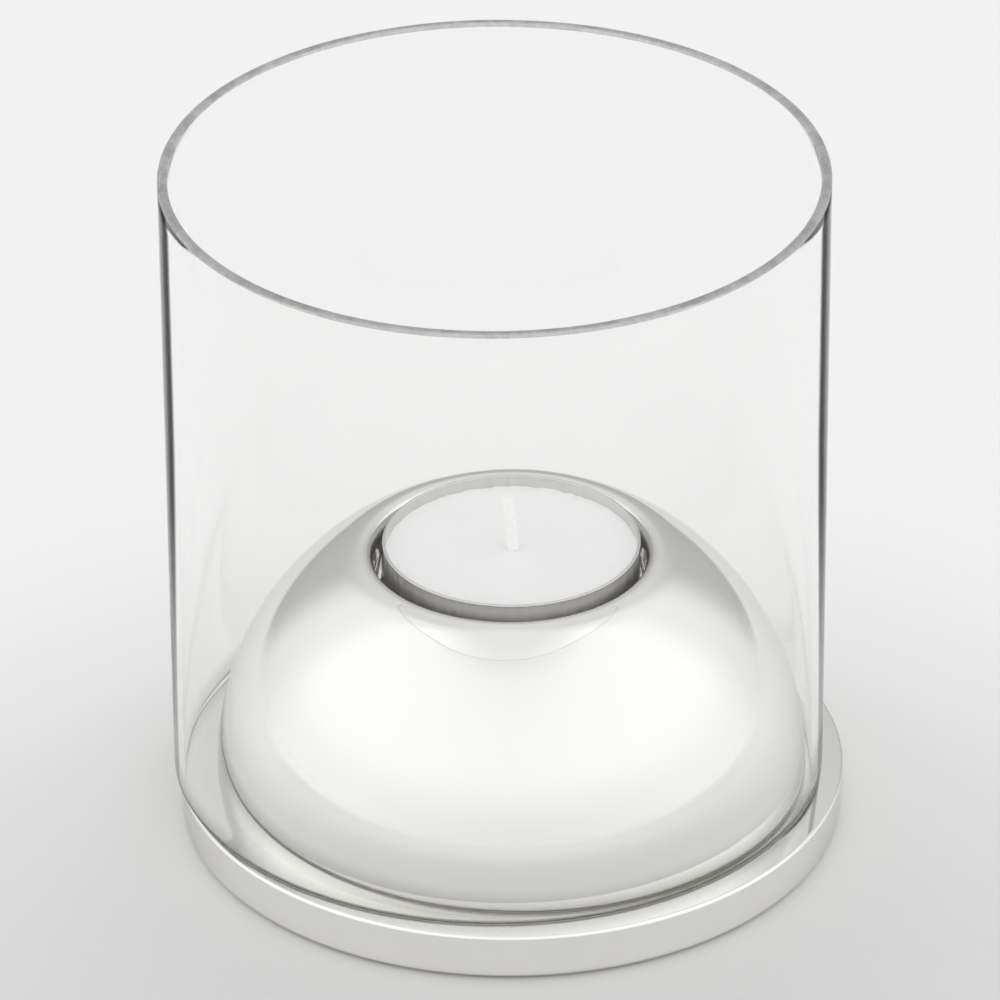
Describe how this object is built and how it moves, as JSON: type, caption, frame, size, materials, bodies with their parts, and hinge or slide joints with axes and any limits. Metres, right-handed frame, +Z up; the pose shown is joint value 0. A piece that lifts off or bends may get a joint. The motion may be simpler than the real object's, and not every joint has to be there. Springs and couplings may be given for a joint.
{
  "type": "tealight holder",
  "caption": "Tealight holder: a polished metal disc and dome with a well for a tealight, inside a loose open glass chimney.",
  "frame": {"origin": "centre of the felt pad's underside, on the surface that the holder rests on and on the axis of the base disc", "axes": "+Z up along the axis of the disc and dome; -Y is the side facing the viewer, +X is to the viewer's right"},
  "size_m": [0.1008, 0.1008, 0.1063],
  "materials": {
    "silver_plate": "mirror-polished silver plate",
    "ballast_steel": "rough mill steel",
    "zinc_steel": "bright zinc plating",
    "felt": "pressed felt",
    "clear_glass": "clear, fire-polished rim",
    "cup_aluminium": "bright rolled foil",
    "wax": "white paraffin wax",
    "wick_cotton": "waxed braided cotton"
  },
  "bodies": {
    "holder": {"base_disc": "silver_plate", "ballast_plate": "ballast_steel", "felt_pad": "felt", "dome_shell": "silver_plate", "candle_well": "silver_plate", "well_stud": "zinc_steel", "clamp_washer": "zinc_steel", "clamp_nut": "zinc_steel"},
    "chimney": {"glass_chimney": "clear_glass"},
    "tealight": {"tealight_cup": "cup_aluminium", "tealight_wax": "wax", "tealight_wick": "wick_cotton", "wick_sustainer": "zinc_steel"}
  },
  "joints": [
    {"name": "chimney_lift", "type": "slide", "parent": "holder", "child": "chimney", "axis": [0, 0, 1], "range_m": [0, 0.06]},
    {"name": "tealight_lift", "type": "slide", "parent": "holder", "child": "tealight", "axis": [0, 0, 1], "range_m": [0, 0.085]}
  ]
}
